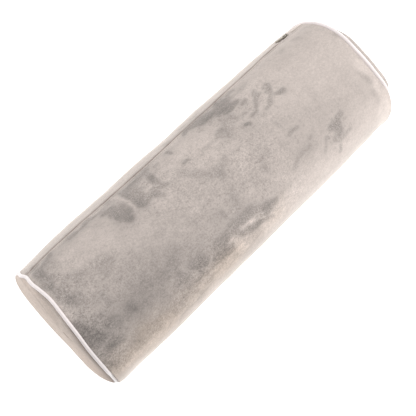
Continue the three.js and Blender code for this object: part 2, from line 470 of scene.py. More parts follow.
FINEST_STEP = 0.25  # of the row step, beside a seam
STEP_GROWTH = 1.25  # from one row to the next, until the row step is reached


def tube_rows(roll, trim):
    """Profile of the tube from axis to axis, as arrays of x and radius."""
    near = hidden_rows(NEAR, NEAR.wrap, trim.gap)
    far = hidden_rows(FAR, FAR.wrap, trim.gap)[::-1]
    distance = near[-1, 0]
    step = roll.row_step * FINEST_STEP
    shoulder = []
    while distance + step < (FAR.x - NEAR.x) / 2:
        distance += step
        shoulder.append(distance)
        step = min(step * STEP_GROWTH, roll.row_step)
    shoulder = np.array(shoulder)
    middle = np.concatenate([NEAR.x + shoulder, FAR.x - shoulder[::-1]])
    x = np.concatenate([NEAR.x + near[:, 0], middle, FAR.x - far[:, 0]])
    radius = np.concatenate([near[:, 1], narrowed_radius(middle, roll), far[:, 1]])
    return x, radius


# Rows of a round panel beyond its hidden ones, as shares of its radius.
RIM_SHARES = (0.992, 0.98, 0.965, 0.945, 0.92, 0.89, 0.855, 0.815, 0.77, 0.72, 0.665, 0.605)
CENTRE_SHARES = (0.54, 0.47, 0.4, 0.33, 0.26, 0.19, 0.12, 0.05, 0)
PANEL_WRAP = 92  # degrees round the cord that a round panel covers


def panel_rows(seam, crown, roll, trim):
    """Profile of a round panel from its hidden middle to its crown, as x and radius."""
    hidden = hidden_rows(seam, PANEL_WRAP, trim.gap)
    depth = hidden[-1, 0]
    shares = np.array(RIM_SHARES + CENTRE_SHARES)
    swell = depth + (crown - depth) * np.sqrt(1 - shares**roll.crown_power)
    out = np.concatenate([hidden[:, 0], swell])
    return seam.x + seam.side * out, np.concatenate([hidden[:, 1], shares * seam.radius])


# ---------------------------------------------------------------- meshes


MERGE = 0.01 * MM  # points of cloth closer than this are one


def new_piece(name, form):
    """Makes an object of a bmesh, and frees it."""
    mesh = bpy.data.meshes.new(name)
    form.to_mesh(mesh)
    form.free()
    piece = bpy.data.objects.new(name, mesh)
    bpy.context.collection.objects.link(piece)
    return piece


def turned_mesh(name, rows, columns, closed=False):
    """A tube round X of unit radius with its rows one apart, as a new object.

    A closed one also joins its last row to its first, as a ring of cord does.
    """
    form = bmesh.new()
    ends = [form.verts.new((0, 0, 1)), form.verts.new((rows - 1, 0, 1))]
    line = form.edges.new(ends)
    bmesh.ops.subdivide_edges(form, edges=[line], cuts=rows - 2)
    bmesh.ops.spin(
        form,
        geom=form.verts[:] + form.edges[:],
        cent=(0, 0, 0),
        axis=(1, 0, 0),
        angle=2 * math.pi,
        steps=columns,
        use_merge=True,
    )
    if closed:
        edges = [edge for edge in form.edges if edge.is_boundary]
        bmesh.ops.bridge_loops(form, edges=edges)
    return new_piece(name, form)


def row_and_angle(mesh):
    """Row number and angle round X of each point of a mesh from turned_mesh."""
    points = points_of(mesh)
    return np.round(points[:, 0]).astype(int), np.arctan2(points[:, 1], points[:, 2])


CROWD_STEP = 0.22  # between points at the long seam, as a share of an even step
CROWD_WIDTH = 0.22  # radians over which the steps grow


def crowd(x, angle):
    """Moves even angles towards the long seam, where the lap needs more points."""
    offset = past_seam(x, angle)
    pull = (1 - CROWD_STEP) / (1 / CROWD_WIDTH - 1 / math.pi)
    crowded = offset * (1 + pull / math.pi) - pull * np.tanh(offset / CROWD_WIDTH)
    return seam_angle(x) + crowded


def close_up(mesh):
    """Merges the points that meet at a pole and turns the faces outwards."""
    form = bmesh.new()
    form.from_mesh(mesh)
    bmesh.ops.remove_doubles(form, verts=form.verts, dist=MERGE)
    bmesh.ops.recalc_face_normals(form, faces=form.faces)
    form.to_mesh(mesh)
    form.free()


# How the cloth behaves in the simulation.
CLOTH = {
    "quality": 6,
    "mass": 0.2,
    "tension_stiffness": 25,
    "compression_stiffness": 25,
    "shear_stiffness": 8,
    "bending_stiffness": 0.3,
    "air_damping": 2,
}


def swell(piece, sewn, cut, held, roll):
    """Runs Cloth on a padded piece and returns how far each of its points moves.

    `sewn` is where its points start, `cut` is the shape that the cloth was cut to, so that
    cloth which is longer than its seam puckers along it, and `held` says how firmly each point
    is sewn down.
    """
    move_points(piece.data, sewn)
    piece.shape_key_add(name="sewn", from_mix=False)
    key = piece.shape_key_add(name="cut", from_mix=False)
    key.data.foreach_set("co", cut.astype(np.float32).ravel())
    group = piece.vertex_groups.new(name="held")
    for weight in np.unique(held):
        if weight > 0:
            group.add(np.flatnonzero(held == weight).tolist(), float(weight), "REPLACE")
    cloth = piece.modifiers.new("Filling", "CLOTH")
    settings = cloth.settings
    for name, value in CLOTH.items():
        setattr(settings, name, value)
    settings.rest_shape_key = key
    settings.vertex_group_mass = group.name
    settings.use_pressure = True
    settings.uniform_pressure_force = roll.pressure
    settings.effector_weights.gravity = 0
    scene = bpy.context.scene
    start = points_of(piece.data)
    for number in range(1, roll.frames + 1):
        scene.frame_set(number)
    depsgraph = bpy.context.evaluated_depsgraph_get()
    moved = points_of(piece.evaluated_get(depsgraph).data) - start
    scene.frame_set(1)
    piece.modifiers.remove(cloth)
    piece.vertex_groups.remove(group)
    piece.shape_key_clear()
    return moved


def puckers(moved, row, angle, lowest, limit):
    """The short waves of a movement, by row and angle, with the swelling left out.

    Waves that go fewer than `lowest` times round the roll belong to the swelling.
    """
    rows = row.max() + 1
    order = np.lexsort((angle, row))
    table = moved[order].reshape(rows, -1, 3)
    spectrum = np.fft.rfft(table, axis=1)
    spectrum[:, :lowest] = 0
    waves = np.fft.irfft(spectrum, n=table.shape[1], axis=1)
    result = np.empty_like(moved)
    result[order] = waves.reshape(-1, 3)
    length = np.linalg.norm(result, axis=1, keepdims=True)
    return result * np.tanh(length / limit) * limit / np.maximum(length, TINY * MM)


def settle(piece, points):
    """Puts the points of a piece where they belong, closes it and smooths it by one level."""
    move_points(piece.data, points)
    close_up(piece.data)
    modifier = piece.modifiers.new("Subdivision", "SUBSURF")
    modifier.levels = 1
    modifier.render_levels = 1
    depsgraph = bpy.context.evaluated_depsgraph_get()
    mesh = bpy.data.meshes.new_from_object(piece.evaluated_get(depsgraph))
    piece.modifiers.remove(modifier)
    coarse = piece.data
    piece.data = mesh
    bpy.data.meshes.remove(coarse)
    mesh.name = piece.name


def finish_piece(piece, material, slot_name, *nodes):
    """Gives a piece its material and smooth shading, puts it under the root, and hides the CAD
    parts that it stands for.
    """
    piece.data.materials.clear()
    piece.data.materials.append(material)
    piece.data.shade_smooth()
    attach(piece, "root")
    if nodes:
        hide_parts(*nodes)


def store(mesh, **layers):
    """Keeps numbers for the points of a mesh, for its material."""
    for name, values in layers.items():
        layer = mesh.attributes.new(name, "FLOAT", "POINT")
        values = np.broadcast_to(values, len(mesh.vertices))
        layer.data.foreach_set("value", values.astype(np.float32))


# ---------------------------------------------------------------- the lap over the zip

# Section of the lapped seam: millimetres from the zip towards +Y, and height. The panel on the
# +Y side is folded over the zip, and its fold stands over the edge of the other panel.
LAP_SECTION = [
    (-10.7, 0.0), (-9.5, 0.0), (-8.9, -0.4), (-8.3, 0.1), (-7.3, 0.6), (-5.9, 0.5), (-5.0, -0.3),
    (-4.4, -1.5), (-4.05, -0.9), (-3.7, 0.4), (-2.9, 0.8), (0.7, 0.8), (3.4, 0.5), (4.3, -0.4),
    (5.1, 0.1), (6.7, 0.0),
]
# The same where the slider and its pull lie: the edges stand apart in a shallow channel.
SLIDER_SECTION = [
    (-8.3, 0.0), (-6.0, 0.3), (-4.4, 0.2), (-3.4, -1.0), (3.4, -1.0), (4.6, 0.5), (9, 0),
]
CREASE = -4.4  # millimetres from the zip to the bottom of the crease
CREASE_WIDTH = 0.5
CREASE_LOSS = 0.6  # share of its painted shade that the crease loses where the lap stands open
OPENING = (-3 * MM, 6 * MM)  # from the end of the pull, where the lap opens
CLOSING = 6 * MM  # beyond the slider, over which it closes
STITCH_LINE = 8.9 * MM  # from the zip to the row of stitches, away from +Y


def open_share(x):
    """How far the lap stands open at x, from 0 to 1 where the slider lies."""
    pull_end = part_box("zip_pull")[0].x
    slider_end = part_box("zip_slider")[1].x
    opening = smooth_step(pull_end + OPENING[0], pull_end + OPENING[1], x)
    return opening * (1 - smooth_step(slider_end, slider_end + CLOSING, x))


def lap_height(x, across):
    """Height of the lapped seam over the round tube, at a distance across the zip."""
    closed = np.interp(across / MM, *zip(*LAP_SECTION))
    opened = np.interp(across / MM, *zip(*SLIDER_SECTION))
    return (closed + (opened - closed) * open_share(x)) * MM


def crease_depth(x, across):
    """How much painted shade a point gets from lying in the crease of the lap, from 0 to 1."""
    closed = np.exp(-(((across / MM - CREASE) / CREASE_WIDTH) ** 2))
    return closed * (1 - CREASE_LOSS * open_share(x))


LATTICE = 32  # knots of the noise each way, before it repeats
LAYER_SHIFT = 5.3  # keeps the knots of its finer layers apart


def noise_at(points, scale, seed, layers=2):
    """Soft noise round zero at each point, with features of about `scale` metres.

    Each layer is half as strong and half as large as the one before.
    """
    values = np.zeros(len(points))
    weight = 1.0
    knots = np.random.default_rng(seed).uniform(-1, 1, (LATTICE,) * 3)
    for layer in range(layers):
        place = points * (2**layer / scale) + LAYER_SHIFT * layer
        cell = np.floor(place).astype(int)
        part = place - cell
        part = part * part * (3 - 2 * part)
        for corner in np.ndindex(2, 2, 2):
            share = np.prod(np.where(corner, part, 1 - part), axis=1)
            knot = (cell + corner) % LATTICE
            values += weight * share * knots[knot[:, 0], knot[:, 1], knot[:, 2]]
        weight *= 0.5
    return values


# ---------------------------------------------------------------- brushed nap

# Where fingers have brushed the pile. Each stroke runs from one point to another: millimetres
# along X and degrees round the roll of its first point, the same of its last, how many
# millimetres it reaches on each side, and how dark it is, with light strokes below zero. The long
# light strokes at about 40 degrees are painted highlight on the lap's ridge, and the dark strokes
# at about 222 millimetres are painted shade beside the far cord.
STROKES = [
    (-237, 36, -240, 14, 6.5, 0.95), (-230, 34, -213, 37, 4.5, 0.75),
    (-237, 42, -230, 41, 3.5, 0.45), (-232, 22, -226, 12, 4, 0.45), (-244, 9, -243, 2, 5, 0.55),
    (-236, 8, -232, 0, 4, 0.5), (-243, -1, -234, -4, 6, 0.72), (-230, 8, -216, 10, 3.5, 0.5),
    (-225, -6, -229, -14, 2.5, 0.5), (-208, -18, -205, -26, 3.5, 0.45),
    (-200, -10, -184, -10, 1.8, 0.45), (-190, 3, -172, -3, 4, 0.42), (-186, -6, -182, 4, 3, 0.38),
    (-183, 36, -144, 36, 3, 0.75), (-160, 31, -150, 22, 2, 0.35), (-138, 36, -121, 37, 4.5, 0.42),
    (-135, 30, -125, 27, 6.5, 0.85), (-131, 24, -119, 21, 7.5, 0.75),
    (-128, 17, -119, 15, 8.5, 0.9), (-124, 11, -121, 9, 5.5, 0.95), (-138, 36.5, -121, 37, 4, 0.5),
    (-101, 36, -80, 35, 5, 0.9), (-102, 31, -101, 13, 6.5, 0.8), (-93, 30, -92, 14, 6.5, 0.68),
    (-86, 29, -80, 31, 4, 0.6), (-98, 10, -76, 12, 4.5, 0.7), (-86, 31, -74, 31, 3.5, 0.62),
    (-74, 36, -60, 35, 5, 0.68), (-65, 33, -65, 17, 6.5, 0.74), (-78, 16, -70, 15, 3, 0.5),
    (-83, 12, -74, 7, 5.5, 0.72), (-85, 24, -83, 22, 2.8, 0.6), (-70, 14, -61, 12, 4, 0.62),
    (-50, 32, -44, 32, 2.6, 0.6), (-26, 35, -25, 30, 3, 0.75), (-27, 14, -21, 14, 2.6, 0.95),
    (-19, 13, -17, 11, 1.6, 0.45), (-38, 7, -32, 2, 6, 0.42), (-28, 2, -24, -5, 7, 0.42),
    (-20, -7, -10, -8, 6, 0.5), (-8, -7, -7, -14, 6.5, 0.5), (-6, -9, 8, -7, 6, 0.5),
    (9, -7, 13, -5, 2, 0.5), (2, 12, 28, 10, 1.6, 0.42), (6, 37, 45, 38, 4.5, 0.85),
    (20, 35, 27, 34, 4, 0.7), (37, 34, 75, 33, 9, 0.95), (60, 36, 69, 31, 9, 1),
    (52, 29, 52, 23, 3, 0.65), (60, 22, 81, 24, 5.5, 0.85), (82, 38, 93, 38, 3.5, 0.6),
    (84, 31, 106, 32, 4, 0.42), (28, 11, 36, 5, 5, 0.6), (35, 14, 42, 10, 4.5, 0.68),
    (43, 16, 60, 12, 5.5, 0.55), (45, 21, 52, 16, 4, 0.48), (60, 2, 66, 0, 3.2, 0.85),
    (64, 9, 72, 10, 2.4, 0.5), (75, 4, 84, 5, 2.8, 0.75), (81, 17, 90, 19, 3, 0.7),
    (86, 8, 104, 15, 3.6, 0.75), (101, 17, 105, 20, 3.2, 0.65), (94, 0, 104, 1, 3, 0.68),
    (103, 2, 116, 10, 4.2, 0.72), (112, 10, 122, 14, 4.6, 0.8), (113, 16, 121, 17, 2.6, 0.75),
    (120, 4, 129, 3, 5, 0.95), (91, -26, 104, -26, 3, 0.6), (88, -13, 90, -18, 3, 0.4),
    (128, -21, 148, -20, 2.5, 0.36), (72, -50, 80, -47, 3.8, 0.54), (84, -45, 106, -45, 3.6, 0.45),
    (110, -40, 113, -39, 2.5, 0.45), (145, -47, 156, -45, 5.5, 0.72),
    (149, -50, 155, -50, 4.5, 0.9), (157, -43, 163, -44, 4, 0.68), (142, -58, 150, -62, 5.5, 0.7),
    (150, -54, 152, -60, 4.5, 0.72), (154, -63, 168, -61, 4, 0.56), (147, -67, 144, -73, 2.6, 0.72),
    (131, -51, 134, -53, 3.2, 0.7), (133, -57, 134, -58, 2.4, 0.45),
    (128, -51, 121, -60, 3.2, 0.52), (120, -65, 120, -68, 2, 0.45), (172, 31, 178, 33, 3.2, 0.42),
    (202, 35, 206, 33, 4.5, 0.42), (221, -30, 224, -42, 4.5, 0.45), (222, -52, 226, -62, 5, 0.41),
    (36, -32, 40, -36, 5, 0.38), (-13, -32, -18, -38, 5, 0.36), (-39, -36, -37, -38, 5.5, 0.55),
    (-26, -39, -18, -41, 6, 0.4), (-36, -40, -30, -46, 3, 0.38), (-38, -47, -7, -49, 6, 0.72),
    (-4, -52, 28, -61, 6.5, 0.81), (14, -63, 19, -62, 3.6, 0.72), (-66, -52, -45, -50, 8, 0.42),
    (-58, -56, -44, -54, 4, 0.6), (-38, -53, -28, -62, 5.5, 0.59), (-76, -60, -50, -62, 6, 0.52),
    (-80, -65, -50, -67, 5, 0.52), (-28, -62, -22, -62, 4.5, 0.68), (-18, -64, 8, -67, 6, 0.83),
    (14, -70, 19, -71, 3, 0.63), (-50, -75, -44, -80, 4, 0.48), (-150, -82, -116, -82, 1.5, 0.6),
    (-112, -81, -88, -78.5, 1.5, 0.6), (-102, -75.5, -80, -73, 1.3, 0.5),
    (-66, -80, -48, -77, 1.6, 0.6), (-26, -80, -38, -82, 1.4, 0.5), (-4, -76, -20, -79, 1.4, 0.55),
    (36, -69.5, 18, -71.5, 1.4, 0.5), (-4, -24, -24, -44, 1.2, 0.42), (-95, -49, -90, -57, 7, 0.6),
    (-100, -58, -94, -65, 5, 0.61), (-113, -64, -98, -64, 2.8, 0.58),
    (-96, -71, -84, -71, 2.6, 0.43), (-130, -52, -118, -54, 7.5, 0.38),
    (-127, -62, -121, -64, 5.2, 0.3), (-128, -37, -112, -34, 6.9, 0.3),
    (-104, -47, -98, -48, 5, 0.43), (-155, -66, -158, -78, 3, 0.28),
    (-156, -60, -152, -59, 3, 0.28), (-206, -60, -199, -61, 3.4, 0.28),
    (-199, -40, -190, -38, 6.9, 0.42), (-226, -37, -212, -39, 6.9, 0.4),
    (-236, -51, -222, -53, 7.5, 0.47), (-240, -40, -232, -46, 6.9, 0.35),
    (-173, -41, -163, -43, 5.8, 0.23), (-248, -64, -246, -80, 3.7, 0.3),
    (-216, 40, -130, 39.4, 2.2, -0.6), (-60, 40, 2, 40, 2.4, -0.6), (92, 41.5, 132, 42, 2.2, -0.5),
    (145, 42.5, 190, 43, 2.2, -0.45), (-114, 38, -110, 27, 3, -0.45),
    (-109, 27, -109, 13, 1.8, -0.6), (-109, 13, -115, 6, 1.6, -0.4), (-56, 22, -40, 22, 4, -0.35),
    (10, 13, 24, 12, 2, -0.35), (-29, -55, -12, -59, 3.4, -0.95), (-14, -59, 7, -64, 2.8, -1.1),
    (-48, -59, -32, -69, 5, -0.6), (-92, -61, -81, -57, 2.6, -0.55),
    (-117, -44, -109, -56, 3.2, -0.55), (-136, -48, -148, -56, 3, -0.35),
    (-100, -69, -86, -67, 2, -0.5), (-112, -71.5, -62, -68, 2.8, -0.55),
    (-60, -71, -36, -70, 2.6, -0.5), (-238, 34, -240, 16, 7, 0.9), (-222, 32, -219, 22, 8, 0.4),
    (-240, 4, -236, -8, 9, 0.5), (-212, 4, -178, 0, 9, 0.36), (-200, 38, -150, 37.5, 2.6, 0.5),
    (10, 37.5, 42, 37, 5.5, 0.85), (28, 33, 45, 32, 6, 0.8), (44, 35, 72, 34, 8, 0.95),
    (56, 27, 74, 25, 8, 0.9), (34, 9, 58, 14, 8, 0.45), (151, -46, 152, -60, 7.5, 0.75),
    (-103, -48, -94, -56, 8, 0.55), (-125, -50, -118, -54, 10, 0.45), (-60, -52, 0, -51, 8, 0.5),
    (-20, -62, 22, -62, 6, 0.45), (-234, -52, -226, -53, 5, 0.8), (-194, -39, -191, -42, 4.5, 0.7),
    (-220, -38, -214, -40, 6, 0.5), (-242, -42, -236, -44, 5, 0.55),
]

HALO = 5  # millimetres round a dark stroke where the pile is slightly brushed
HALO_LEAN = 0.3  # how far it leans there
LIGHT_LEAN = 0.8  # how far it leans along a light stroke, which on the lap's ridge is painted highlight

# Broad stretches where the whole pile leans darker (above zero) or lighter, mixed with painted
# light and shade: the near end is painted darker, the low -Y flank, the upper +Y edge and the far
# end by its cord lighter, and a thin painted shadow lies beside the far cord. The same columns.
LEANS = [
    (-262, -36, -160, -41, 40, 0.62), (-262, -36, -244, -66, 14, 0.35),
    (-255, -44, -205, -48, 22, 0.26), (-252, -26, -246, -38, 11, 0.8),
    (-170, -42, -70, -52, 30, 0.42), (-120, -44, -60, -58, 16, 0.2), (-250, -67, -70, -68, 16, 0.4),
    (-250, -84, -120, -86, 14, 0.3), (-60, -50, 20, -62, 16, 0.2), (-60, -28, 90, -32, 26, 0.1),
    (-252, 16, -246, -16, 10, -0.6), (-230, -4, -180, -10, 18, 0.2), (-215, 30, -165, 33, 14, 0.37),
    (-130, 24, -70, 20, 24, 0.15), (30, 34, 70, 24, 18, 0.28), (-195, 14, -160, 12, 18, -0.15),
    (-50, 20, 15, 18, 20, -0.25), (110, 14, 240, -14, 42, -0.45), (20, -74, 250, -74, 24, -0.8),
    (-250, -80, -30, -78, 9, -0.35), (-226, 24, -196, 20, 8, -0.3), (-232, 10, -214, 2, 7, 0.15),
    (-176, 24, -160, 28, 9, -0.2), (-150, -62, -128, -66, 9, -0.3), (232, -25, 236, -90, 9, -1.2),
    (224, 52, 240, 48, 10, -1.0), (236, 9, 238, -3, 3, 0.5), (-255, 53, 245, 54, 12, -0.2),
    (-20, 46, 42, 46, 4, 0.5), (-160, -67, -115, -74, 15, 0.34), (-240, -63, -180, -66, 14, 0.16),
    (-30, 12, -5, 0, 20, -0.16), (-90, 14, -60, 10, 14, -0.14), (50, 24, 90, 20, 14, -0.2),
    (-95, -50, -65, -50, 14, -0.2), (-245, -30, -215, -34, 13, 0.18),
    (-150, -33, -70, -30, 15, 0.14), (100, 31, 145, 31, 15, 0.12),
]

# Where the cloth is crushed most: the same columns.
CRUSHES = [
    (-245, 40, -245, -60, 26, 0.6), (-215, 10, -180, -8, 26, 0.35), (-110, 22, -70, 20, 26, 0.4),
    (-60, 10, 40, -20, 45, 0.42), (-250, -30, 60, -55, 45, 0.15), (-120, -55, 10, -60, 20, 0.5),
    (40, 30, 110, 10, 24, 0.5), (150, -45, 150, -65, 14, 0.6), (-230, -72, 50, -72, 20, 0.35),
]

# Where light from the floor warms the cloth: the same columns.
WARMTHS = [
    (-250, -76, -190, -75, 27, 1.0), (-190, -75, -60, -75, 26, 0.75), (-60, -74, 25, -76, 22, 0.42),
]

# The same for the round panels, with millimetres across Y and up from the axis. Their leans also
# carry painted light and shade, and the near panel's shades are painted shade beside its cord.
NEAR_LEANS = [
    (-84, 10, -66, 54, 26, 0.4), (-66, 54, -36, 77, 34, 0.6), (-30, 82, 20, 82, 14, 0.5),
    (0, 0, 0, 0, 120, 0.3), (42, 72, 80, 28, 22, -1.2), (-36, -46, 70, -30, 42, -1.1),
]
# Painted shade beside the near cord, darkest on its lower -Y side
NEAR_SHADES = [
    (-90, -20, -76, 16, 42, 0.8), (-86, -8, -68, 50, 32, 0.95), (-66, 54, -40, 75, 24, 0.66),
    (-42, 72, -16, 84, 50, 0.12), (-12, 84, 12, 86, 54, 0.2),
]
FAR_LEANS = [(0, 0, 0, 0, 120, 0.3)]


def off_stroke(across, up, run):
    """Distance from points to the straight line that a stroke follows."""
    first_across, first_up, last_across, last_up = run
    run_across = last_across - first_across
    run_up = last_up - first_up
    off_across = across - first_across
    off_up = up - first_up
    length = max(run_across**2 + run_up**2, TINY)
    share = np.clip((off_across * run_across + off_up * run_up) / length, 0, 1)
    return np.hypot(off_across - share * run_across, off_up - share * run_up)


SOFT = 2  # how sharply a stroke fades at its edge
FIRM = 2.2
PATCH = 3
DARKNESS = (0.1, 0.9)  # depths of a stroke that make its patch the least and the most dark


def patches(across, up, strokes):
    """Shape from 0 to 1 of the dark patches that strokes leave, and how dark each one is."""
    shape = np.zeros(len(across))
    weight = np.full(len(across), TINY)
    dark = np.zeros(len(across))
    for *run, width, depth in strokes:
        distance = off_stroke(across, up, run) / width
        shape = np.maximum(shape, np.exp(-(distance**PATCH)))
        near = depth * np.exp(-(distance**SOFT))
        weight += near
        dark += near * smooth_step(*DARKNESS, depth)
    return shape, dark / weight


def brushed(across, up, strokes, edge):
    """What strokes give at points given in millimetres on the cloth: the dark of brushed pile,
    painted light and shade, painted warmth and crush.

    Dark strokes with firm edges don't add up where they cross.
    """
    total = np.zeros(len(across))
    for *run, width, depth in strokes:
        reach = depth * np.exp(-((off_stroke(across, up, run) / width) ** edge))
        if edge == FIRM and depth > 0:
            total = np.maximum(total, reach)
        else:
            total = total + reach
    return total


def round_roll(strokes):
    """Strokes with their degrees round the roll turned into millimetres."""
    arc = math.radians(1) * full_radius(MIDDLE) / MM
    return [(x, turn * arc, last, end * arc, *rest) for x, turn, last, end, *rest in strokes]


# ---------------------------------------------------------------- shader maths


class Wire:
    """A socket that takes part in arithmetic: each operator adds a Math node."""

    def __init__(self, shader, socket):
        self.shader = shader
        self.socket = socket

    def math(self, operation, *values):
        inputs = {str(i): value for i, value in enumerate(values)}
        return self.shader.node("ShaderNodeMath", {"operation": operation}, inputs)["Value"]

    def __add__(self, other):
        return self.math("ADD", self, other)

    __radd__ = __add__

    def __sub__(self, other):
        return self.math("SUBTRACT", self, other)

    def __rsub__(self, other):
        return self.math("SUBTRACT", other, self)

    def __mul__(self, other):
        return self.math("MULTIPLY", self, other)

    __rmul__ = __mul__


class Shader:
    """A material whose nodes are added one by one."""

    def __init__(self, name):
        self.material = bpy.data.materials.new(name)
        self.material.use_nodes = True
        self.tree = self.material.node_tree
        self.tree.nodes.clear()

    def node(self, kind, settings=None, inputs=None):
        """Adds a node and returns its outputs by name, as wires."""
        node = self.tree.nodes.new(kind)
        for key, value in (settings or {}).items():
            setattr(node, key, value)
        for key, value in (inputs or {}).items():
            found = [s for s in node.inputs if key in (s.identifier, s.name)]
            socket = found[0] if found else node.inputs[int(key)]
            if isinstance(value, Wire):
                self.tree.links.new(value.socket, socket)
            else:
                socket.default_value = value
        return {s.identifier: Wire(self, s) for s in node.outputs}

    def noise(self, place, scale, detail=2.0, roughness=0.5):
        """Noise from 0 to 1 with features of about 1/scale metres."""
        inputs = {"Vector": place, "Scale": scale, "Detail": detail, "Roughness": roughness}
        return self.node("ShaderNodeTexNoise", {}, inputs)["Fac"]

    def place(self):
        """Where a point lies on the object, in metres."""
        return self.node("ShaderNodeTexCoord")["Object"]

    def attribute(self, name):
        """A number that the mesh keeps for each of its points."""
        return self.node("ShaderNodeAttribute", {"attribute_name": name})["Fac"]

    def step(self, value, low, high):
        """0 below low, 1 above high and a smooth rise between them."""
        settings = {"interpolation_type": "SMOOTHSTEP"}
        inputs = {"Value": value, "From Min": low, "From Max": high}
        return self.node("ShaderNodeMapRange", settings, inputs)["Result"]

    def mix(self, share, first, second, blend="MIX"):
        """A colour between two colours, or one tinted by the other."""
        settings = {"data_type": "RGBA", "blend_type": blend}
        inputs = {"Factor_Float": share, "A_Color": first, "B_Color": second}
        return self.node("ShaderNodeMix", settings, inputs)["Result_Color"]

    def scaled(self, colour, amount):
        """A colour made lighter or darker by a number."""
        inputs = {"Vector": colour, "Scale": amount}
        return self.node("ShaderNodeVectorMath", {"operation": "SCALE"}, inputs)["Vector"]

    def bump(self, height, distance, strength=1.0, normal=None):
        """A normal from a height from 0 to 1, with its depth in metres."""
        inputs = {"Height": height, "Distance": distance, "Strength": strength}
        if normal:
            inputs["Normal"] = normal
        return self.node("ShaderNodeBump", {}, inputs)["Normal"]

    def surface(self, **inputs):
        """Ends the material with a Principled shader and returns the material."""
        named = {key.replace("_", " "): value for key, value in inputs.items()}
        closure = self.node("ShaderNodeBsdfPrincipled", {}, named)["BSDF"]
        self.node("ShaderNodeOutputMaterial", {}, {"Surface": closure})
        return self.material


def rgba(colour, tone=1.0):
    """A colour made lighter or darker, with full alpha."""
    return (*(part * tone for part in colour), 1.0)


# Noise in the velvet: features in a metre, layers of detail and how strong the finer ones are.
RAGGED = (115, 5, 0.6)
MOTTLE = (38, 3, 0.5)
SMOKE = (26, 4, 0.6)
TUFTS = (330, 3, 0.65)
GRAIN = (620, 2, 0.6)
FLUFF = (2600, 2, 0.7)
SMOKE_SLANT = {"Rotation": (0.3, 0.2, 0.7), "Scale": (1, 3.2, 3.2)}
WARM_TINT = (1.05, 1.0, 0.935, 1.0)
SHEEN_TINT = (1.0, 0.93, 0.87, 1.0)


def velvet(name, pile, brushed_pile, shade, sheen):
    """Short-pile velvet: a light and a brushed pile, soft leans with painted light and shade,
    painted shade in seams, painted warm floor light, grain, sheen and pile bump.
    """
    shader = Shader(name)
    place = shader.place()
    slanted = shader.node("ShaderNodeMapping", {}, {"Vector": place, **SMOKE_SLANT})["Vector"]
    nap = shader.attribute("nap")
    lean = shader.attribute("lean")
    crush = shader.attribute("crush")
    crease = shader.attribute("crease")
    ragged = shader.noise(place, *RAGGED)
    tufts = shader.noise(place, *TUFTS)
    edge = ragged - 0.5
    tuft = tufts - 0.5
    grain = shader.noise(place, *GRAIN) - 0.5
    mottle = shader.noise(place, *MOTTLE) - 0.5
    smoke = shader.noise(slanted, *SMOKE) - 0.5
    frayed = nap + edge * 1.5 + tuft * 2.0 + grain * 1.6
    mask = shader.step(frayed, 0.1, 0.95) * shader.attribute("depth")
    grainy = 0.5 + edge * 0.7 + tuft * 1.1
    worn = (mottle + smoke * 0.7) * (0.32 + crush * 0.4)
    # the leans carry painted light and shade as well as the lean of the pile
    share = 0.1 + mask * grainy + lean * 0.25 + worn
    colour = shader.mix(share, rgba(pile), rgba(brushed_pile))
    # painted shade: towards the shade colour in the lap's crease and beside the near cord
    colour = shader.mix(crease, colour, rgba(shade))
    # painted light: warm light from the floor on the low -Y flank
    colour = shader.mix(shader.attribute("warmth"), colour, WARM_TINT, "MULTIPLY")
    rough = edge * 0.4 + tuft * 0.68 + grain * 0.76
    crumbs = 0.22 + crush * 1.35 + mask
    # painted shade and painted light: the shade attribute and the leans also darken or lighten the
    # colour
    colour = shader.scaled(colour, 0.98 + rough * crumbs - crease * 0.3 - lean * 0.15)
    normal = shader.bump(ragged * (0.25 + crush), 0.0016, 0.35)
    normal = shader.bump(tufts, 0.0004, 0.3, normal)
    normal = shader.bump(shader.noise(place, *FLUFF), 0.00012, 0.6, normal)
    return shader.surface(
        Base_Color=colour,
        Roughness=0.92 - mask * 0.06,
        IOR=1.35,
        Sheen_Weight=sheen,
        Sheen_Roughness=0.36,
        Sheen_Tint=SHEEN_TINT,
        Normal=normal,
    )


FOLD_SLANT = math.radians(38)  # of the folds of the tape across the cord


def satin(name, tape):
    """Satin bias tape: smooth, faintly pink, with slanting folds that follow the cord."""
    shader = Shader(name)
    along = shader.node("ShaderNodeUVMap", {"uv_map": "UVMap"})["UV"]
    slant = {"Vector": along, "Rotation": (0, 0, FOLD_SLANT), "Scale": (1, 1, 1)}
    turned = shader.node("ShaderNodeMapping", {}, slant)["Vector"]
    folds = shader.node(
        "ShaderNodeTexWave",
        {"wave_type": "BANDS", "bands_direction": "X"},
        {"Vector": turned, "Scale": 90.0, "Distortion": 3.0, "Detail": 2.0},
    )["Fac"]
    threads = shader.noise(shader.place(), 2400.0, 1.0)
    soil = shader.noise(shader.place(), 60.0, 3.0)
    colour = shader.mix(soil, rgba(tape), rgba(tape, 0.93))
    normal = shader.bump(folds, 0.0001, 0.5)
    return shader.surface(
        # painted shade: the per-point attribute darkens the tape low down on the cord's -Y side
        Base_Color=shader.scaled(colour, 1 - shader.attribute("soil")),
        Roughness=0.42 + soil * 0.12,
        Sheen_Weight=0.8,
        Sheen_Roughness=0.5,
        Normal=shader.bump(threads, 0.00003, 0.4, normal),
    )


BARE_METAL = (0.42, 0.39, 0.35, 1.0)


def lacquered_metal(name, lacquer):
    """Dark lacquer on zinc, rubbed on its edges."""
    shader = Shader(name)
    sharp = shader.node("ShaderNodeNewGeometry")["Pointiness"]
    scratch = shader.noise(shader.place(), 1500.0, 4.0, 0.7)
    worn = shader.step(sharp + (scratch - 0.5) * 0.1, 0.53, 0.6)
    return shader.surface(
        Base_Color=shader.mix(worn * 0.6, rgba(lacquer), BARE_METAL),
        Metallic=0.3,
        Roughness=0.34 + scratch * 0.2,
        Normal=shader.bump(scratch, 0.00004, 0.4),
    )


